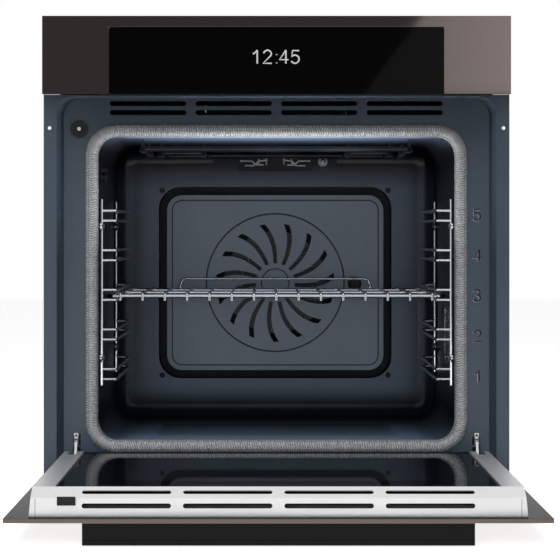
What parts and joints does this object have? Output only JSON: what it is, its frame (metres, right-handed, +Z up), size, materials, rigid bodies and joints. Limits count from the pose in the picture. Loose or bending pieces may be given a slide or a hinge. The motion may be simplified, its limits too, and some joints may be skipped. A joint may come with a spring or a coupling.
{
  "type": "wall oven",
  "caption": "Built-in wall oven with its drop-down glass door open, enamelled cavity with fan cover, side racks and wire shelf, dark touch fascia and a ventilated steel casing.",
  "frame": {"origin": "underside of the casing's base panel, midway across, at the cabinet's front plane", "axes": "+X to the right seen from the front, +Y into the oven, +Z up"},
  "size_m": [0.595, 1.0286, 0.6123],
  "materials": {
    "galvanised_steel": "galvanised sheet, satin",
    "enamel": "glossy slate vitreous enamel with a fine fleck",
    "wool": "mineral wool",
    "seal_braid": "braided glass fibre tube",
    "black_plastic": "satin black plastic",
    "white_plastic": "gloss white plastic",
    "oxidised_steel": "dark oxidised tube, satin",
    "chrome_wire": "polished chrome plate",
    "fan_steel": "pressed steel, satin",
    "motor": "varnished steel laminations and galvanised brackets",
    "lamp_glass": "clear pressed glass",
    "fascia_paint": "dark metallic lacquer, satin",
    "black_glass": "back-printed black glass, polished",
    "tinted_glass": "dark tinted glass, polished",
    "clear_glass": "clear coated glass, polished",
    "circuit": "green solder mask with parts",
    "door_aluminium": "pale satin anodised",
    "spring_steel": "oiled spring wire"
  },
  "bodies": {
    "oven": {"base_panel": "galvanised_steel", "side_panel_left": "galvanised_steel", "side_panel_right": "galvanised_steel", "rear_cover": "galvanised_steel", "top_cover": "galvanised_steel", "front_bracket": "galvanised_steel", "front_frame": "enamel", "cavity_wrap": "enamel", "cavity_back_wall": "enamel", "fan_chamber_pan": "enamel", "insulation": "wool", "door_seal": "seal_braid", "fan_cover": "enamel", "fan_cover_screws": "black_plastic", "fan_motor": "motor", "ring_heater": "oxidised_steel", "grill_heater": "oxidised_steel", "top_heater": "oxidised_steel", "heater_flange": "galvanised_steel", "heater_hangers": "galvanised_steel", "bottom_heater": "oxidised_steel", "temperature_sensor": "chrome_wire", "humidity_sensor": "black_plastic", "lamp_housing": "galvanised_steel", "lamp_bulb": "lamp_glass", "lamp_lens": "lamp_glass", "probe_socket": "galvanised_steel", "side_rack_left": "chrome_wire", "side_rack_right": "chrome_wire", "rack_studs": "chrome_wire", "control_fascia": "fascia_paint", "touch_display": "black_glass", "display_carrier": "black_plastic", "power_board": "circuit", "door_switch": "black_plastic", "blower_housing": "galvanised_steel", "blower_motor": "motor", "air_duct": "galvanised_steel", "terminal_box": "black_plastic", "hinge_receivers": "galvanised_steel", "hinge_arms": "galvanised_steel"},
    "door": {"door_outer_glass": "black_glass", "door_middle_panes": "clear_glass", "door_inner_glass": "tinted_glass", "pane_holders": "black_plastic", "door_rails": "door_aluminium", "door_top_bar": "door_aluminium", "door_bottom_bar": "black_plastic", "door_hinges": "galvanised_steel", "hinge_springs": "spring_steel", "door_handle": "black_plastic", "striker_block": "black_plastic"},
    "shelf": {"wire_shelf": "chrome_wire"},
    "convection_fan": {"fan_wheel": "fan_steel", "fan_shaft": "chrome_wire"},
    "cooling_fan": {"blower_rotor": "fan_steel"},
    "switch_button": {"switch_plunger": "white_plastic"},
    "probe_lid": {"probe_cap": "black_plastic"},
    "latch_left": {"hinge_latch_left": "galvanised_steel"},
    "latch_right": {"hinge_latch_right": "galvanised_steel"}
  },
  "joints": [
    {"name": "door_hinge", "type": "hinge", "parent": "oven", "child": "door", "pos_m": [0, -0.0113, 0.0174], "axis": [1, 0, 0], "range_deg": [-90, 0]},
    {"name": "shelf_slide", "type": "slide", "parent": "oven", "child": "shelf", "axis": [0, -1, 0], "range_m": [0, 0.3]},
    {"name": "convection_fan_spin", "type": "hinge", "parent": "oven", "child": "convection_fan", "pos_m": [0, 0.46, 0.247], "axis": [0, 1, 0], "continuous": true},
    {"name": "cooling_fan_spin", "type": "hinge", "parent": "oven", "child": "cooling_fan", "pos_m": [0, 0.19, 0.524], "axis": [1, 0, 0], "continuous": true},
    {"name": "door_switch_press", "type": "slide", "parent": "oven", "child": "switch_button", "axis": [0, 1, 0], "range_m": [0, 0.003], "stiffness_N_per_m": 300, "springref_m": -0.002},
    {"name": "probe_lid_hinge", "type": "hinge", "parent": "oven", "child": "probe_lid", "pos_m": [-0.2219, 0.078, 0.4014], "axis": [0, -1, 0], "range_deg": [0, 105]},
    {"name": "latch_left_flip", "type": "hinge", "parent": "oven", "child": "latch_left", "pos_m": [-0.25675, 0.013, 0.049], "axis": [1, 0, 0], "range_deg": [0, 70]},
    {"name": "latch_right_flip", "type": "hinge", "parent": "oven", "child": "latch_right", "pos_m": [0.25675, 0.013, 0.049], "axis": [1, 0, 0], "range_deg": [0, 70]}
  ]
}
